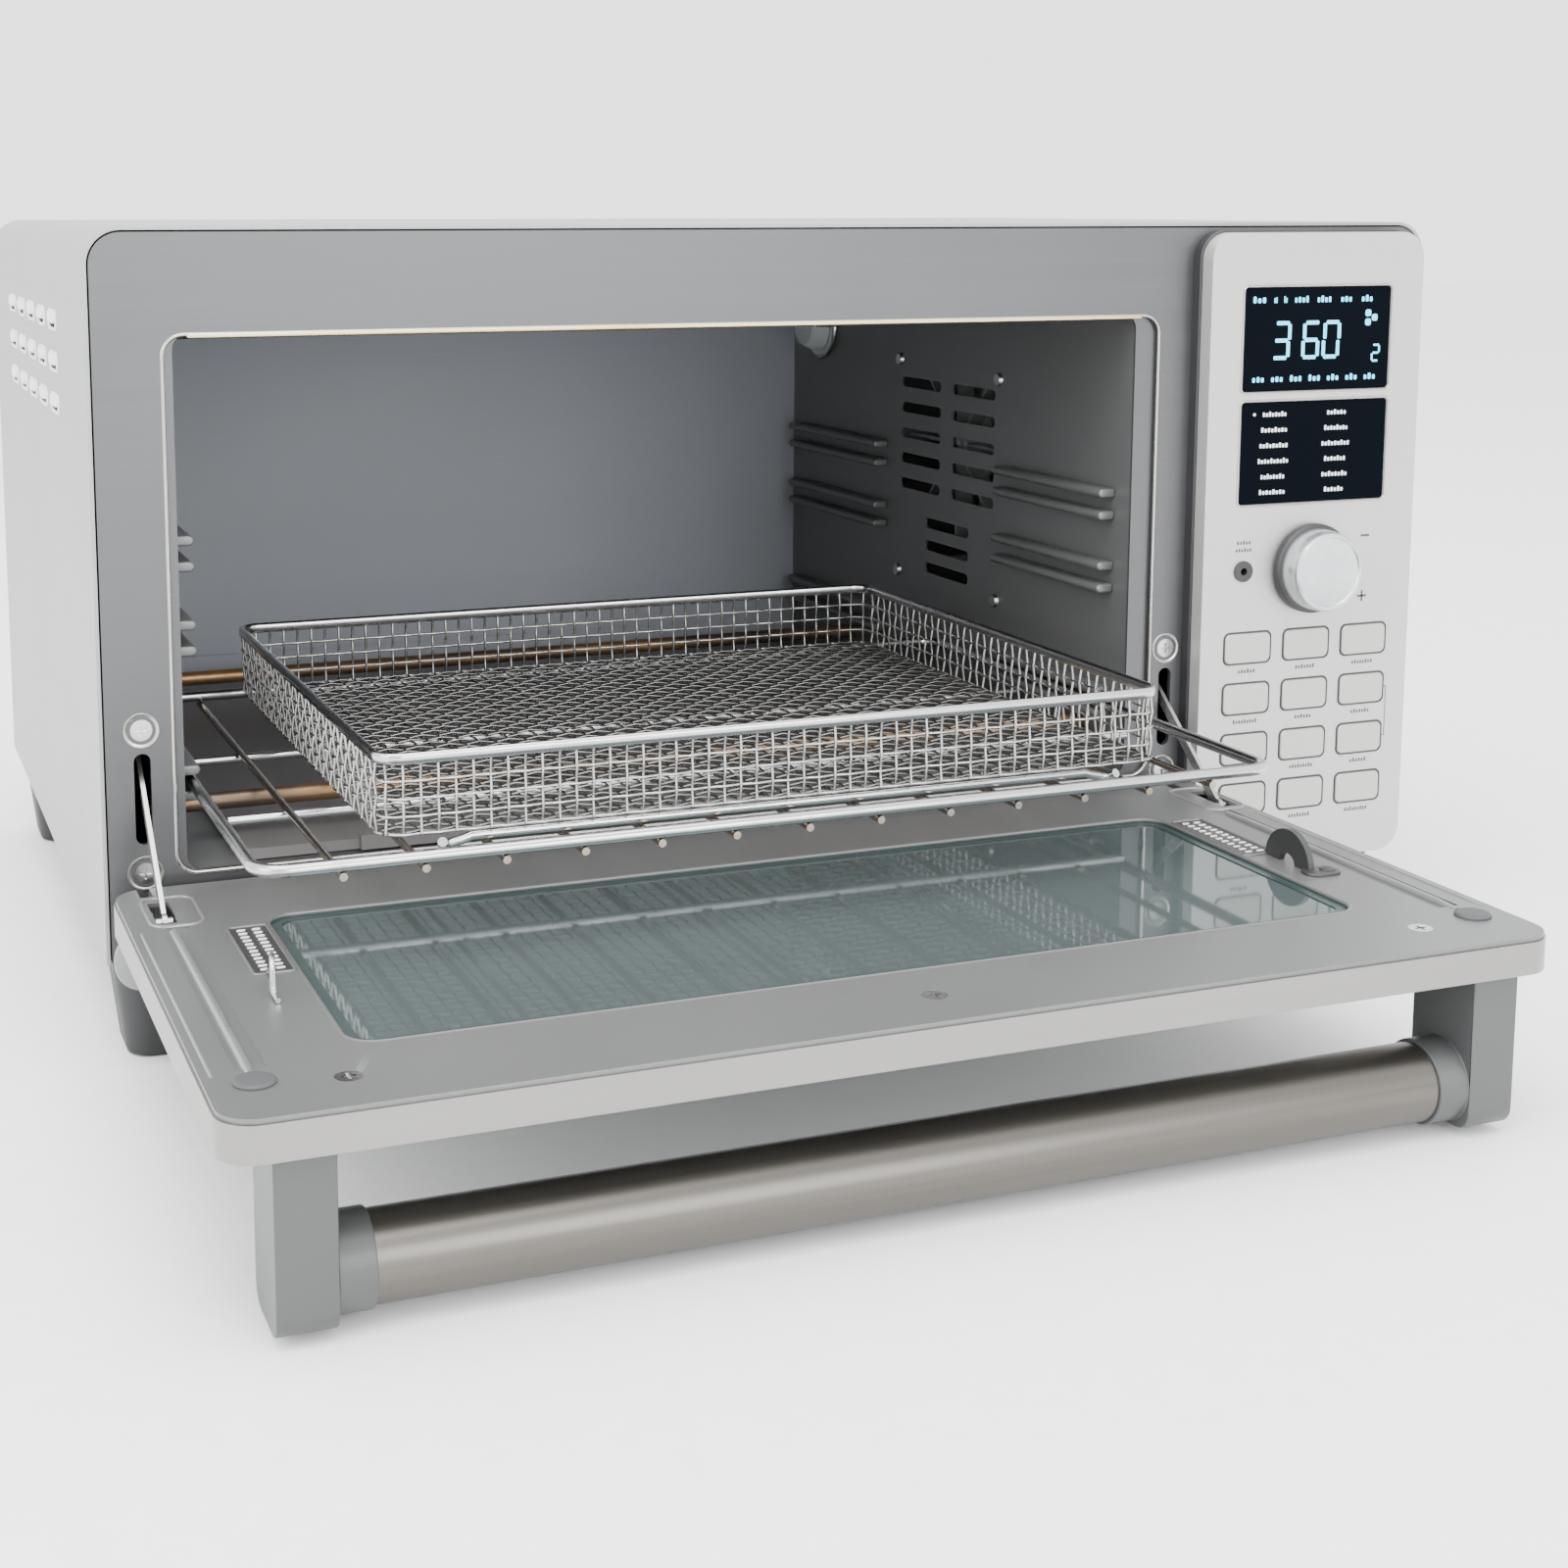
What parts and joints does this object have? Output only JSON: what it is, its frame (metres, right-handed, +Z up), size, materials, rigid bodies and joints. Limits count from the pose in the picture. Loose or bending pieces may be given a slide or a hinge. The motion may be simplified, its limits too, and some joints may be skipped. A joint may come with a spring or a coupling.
{
  "type": "toaster oven",
  "caption": "Countertop convection oven with a drop-down glass door, tube handle, wire rack, mesh basket, crumb tray and raised digital control panel.",
  "frame": {"origin": "centre of the footprint on the counter with the door lying open", "axes": "+Z up, -Y out of the front, +X to the right seen from the front"},
  "size_m": [0.508, 0.539, 0.273],
  "materials": {
    "shell_steel": "fine brushed, pale",
    "frame_steel": "fine brushed, mid grey",
    "panel_steel": "fine brushed, pale",
    "zinc_sheet": "plain galvanised sheet",
    "liner": "dark grey non-stick coat",
    "liner_rear": "pale blue-grey coat",
    "bright_steel": "bright plated wire",
    "element_sheath": "heat-tinted matt sheath",
    "ceramic_white": "unglazed ceramic",
    "lamp_glass": "clear domed glass",
    "window_glass": "grey-green tinted glass",
    "display_glass": "dark glossy display window",
    "board": "green laminate",
    "black_plastic": "matt black",
    "grey_plastic": "matt dark grey",
    "key_cap": "satin silver",
    "knob_skin": "turned, satin",
    "door_shell": "fine brushed",
    "door_liner": "satin grey",
    "seal": "black silicone",
    "bumper": "soft grey silicone",
    "post_metal": "silver paint",
    "bar_steel": "brushed along its length",
    "dark_steel": "dark oxide",
    "arm_steel": "plain strip",
    "wire_mesh": "woven steel wire",
    "tray_coat": "dark non-stick coat"
  },
  "bodies": {
    "casing": {"outer_shell": "shell_steel", "rear_cover": "zinc_sheet", "base_pan": "zinc_sheet", "front_frame": "frame_steel", "cavity_left_wall": "liner", "cavity_right_wall": "liner", "cavity_rear_wall": "liner_rear", "cavity_roof": "liner", "cavity_floor": "liner", "rack_guides": "liner", "upper_elements": "element_sheath", "lower_elements": "element_sheath", "element_supports": "ceramic_white", "fan_motor": "zinc_sheet", "lamp_lens": "lamp_glass", "lamp_clip": "bright_steel", "control_panel": "panel_steel", "display_window": "display_glass", "menu_window": "display_glass", "control_board": "board", "encoder_housing": "grey_plastic", "probe_jack": "black_plastic", "cord_inlet": "black_plastic", "feet": "grey_plastic", "hinge_pins": "bright_steel", "casing_screws": "bright_steel"},
    "fan": {"fan_blade": "zinc_sheet"},
    "knob_stem": {"encoder_plunger": "grey_plastic"},
    "knob": {"knob": "knob_skin"},
    "door": {"door_outer_shell": "door_shell", "door_inner_panel": "door_liner", "door_glass": "window_glass", "glass_seal": "seal", "door_knuckles": "zinc_sheet", "door_bumpers": "bumper", "door_screws": "bright_steel", "handle_posts": "post_metal", "handle_bar": "bar_steel", "rack_hooks": "dark_steel"},
    "arm_left": {"door_arm_left": "arm_steel"},
    "arm_right": {"door_arm_right": "arm_steel"},
    "rack": {"rack_end_rails": "bright_steel", "rack_side_rails": "bright_steel", "rack_wires": "bright_steel"},
    "basket": {"basket_rim": "arm_steel", "basket_mesh": "wire_mesh", "basket_cradle": "bright_steel"},
    "tray": {"crumb_tray": "tray_coat"},
    "key_1": {"button_1": "key_cap"},
    "key_2": {"button_2": "key_cap"},
    "key_3": {"button_3": "key_cap"},
    "key_4": {"button_4": "key_cap"},
    "key_5": {"button_5": "key_cap"},
    "key_6": {"button_6": "key_cap"},
    "key_7": {"button_7": "key_cap"},
    "key_8": {"button_8": "key_cap"},
    "key_9": {"button_9": "key_cap"},
    "key_10": {"button_10": "key_cap"},
    "key_11": {"button_11": "key_cap"},
    "key_12": {"button_12": "key_cap"}
  },
  "joints": [
    {"name": "door_hinge", "type": "hinge", "parent": "casing", "child": "door", "pos_m": [0, -0.074, 0.0535], "axis": [-1, 0, 0], "range_deg": [0, 90]},
    {"name": "arm_left_hinge", "type": "hinge", "parent": "door", "child": "arm_left", "pos_m": [-0.2407, -0.101, 0.0603], "axis": [-1, 0, 0], "range_deg": [-62, 0]},
    {"name": "arm_right_hinge", "type": "hinge", "parent": "door", "child": "arm_right", "pos_m": [0.14275, -0.101, 0.0603], "axis": [-1, 0, 0], "range_deg": [-62, 0]},
    {"name": "rack_slide", "type": "slide", "parent": "casing", "child": "rack", "axis": [0, 1, 0], "range_m": [0, 0.1582]},
    {"name": "basket_lift", "type": "slide", "parent": "rack", "child": "basket", "axis": [0, 0, 1], "range_m": [0, 0.06]},
    {"name": "tray_slide", "type": "slide", "parent": "casing", "child": "tray", "axis": [0, 1, 0], "range_m": [-0.15, 0]},
    {"name": "knob_push", "type": "slide", "parent": "casing", "child": "knob_stem", "axis": [0, 1, 0], "range_m": [0, 0.0006], "stiffness_N_per_m": 2500, "springref_m": -0.0004},
    {"name": "knob_turn", "type": "hinge", "parent": "knob_stem", "child": "knob", "pos_m": [0.1981, -0.075, 0.1424], "axis": [0, -1, 0], "continuous": true},
    {"name": "fan_spin", "type": "hinge", "parent": "casing", "child": "fan", "pos_m": [0.132, 0.0865, 0.177], "axis": [1, 0, 0], "continuous": true},
    {"name": "key_1_press", "type": "slide", "parent": "casing", "child": "key_1", "axis": [0, 1, 0], "range_m": [0, 0.0008], "stiffness_N_per_m": 900, "springref_m": -0.0005},
    {"name": "key_2_press", "type": "slide", "parent": "casing", "child": "key_2", "axis": [0, 1, 0], "range_m": [0, 0.0008], "stiffness_N_per_m": 900, "springref_m": -0.0005},
    {"name": "key_3_press", "type": "slide", "parent": "casing", "child": "key_3", "axis": [0, 1, 0], "range_m": [0, 0.0008], "stiffness_N_per_m": 900, "springref_m": -0.0005},
    {"name": "key_4_press", "type": "slide", "parent": "casing", "child": "key_4", "axis": [0, 1, 0], "range_m": [0, 0.0008], "stiffness_N_per_m": 900, "springref_m": -0.0005},
    {"name": "key_5_press", "type": "slide", "parent": "casing", "child": "key_5", "axis": [0, 1, 0], "range_m": [0, 0.0008], "stiffness_N_per_m": 900, "springref_m": -0.0005},
    {"name": "key_6_press", "type": "slide", "parent": "casing", "child": "key_6", "axis": [0, 1, 0], "range_m": [0, 0.0008], "stiffness_N_per_m": 900, "springref_m": -0.0005},
    {"name": "key_7_press", "type": "slide", "parent": "casing", "child": "key_7", "axis": [0, 1, 0], "range_m": [0, 0.0008], "stiffness_N_per_m": 900, "springref_m": -0.0005},
    {"name": "key_8_press", "type": "slide", "parent": "casing", "child": "key_8", "axis": [0, 1, 0], "range_m": [0, 0.0008], "stiffness_N_per_m": 900, "springref_m": -0.0005},
    {"name": "key_9_press", "type": "slide", "parent": "casing", "child": "key_9", "axis": [0, 1, 0], "range_m": [0, 0.0008], "stiffness_N_per_m": 900, "springref_m": -0.0005},
    {"name": "key_10_press", "type": "slide", "parent": "casing", "child": "key_10", "axis": [0, 1, 0], "range_m": [0, 0.0008], "stiffness_N_per_m": 900, "springref_m": -0.0005},
    {"name": "key_11_press", "type": "slide", "parent": "casing", "child": "key_11", "axis": [0, 1, 0], "range_m": [0, 0.0008], "stiffness_N_per_m": 900, "springref_m": -0.0005},
    {"name": "key_12_press", "type": "slide", "parent": "casing", "child": "key_12", "axis": [0, 1, 0], "range_m": [0, 0.0008], "stiffness_N_per_m": 900, "springref_m": -0.0005}
  ],
  "couplings": [
    {"joint": "arm_left_hinge", "follows": "door_hinge", "ratio": -0.68},
    {"joint": "arm_right_hinge", "follows": "door_hinge", "ratio": -0.68},
    {"joint": "rack_slide", "follows": "door_hinge", "m_per_rad": 0.10059}
  ]
}
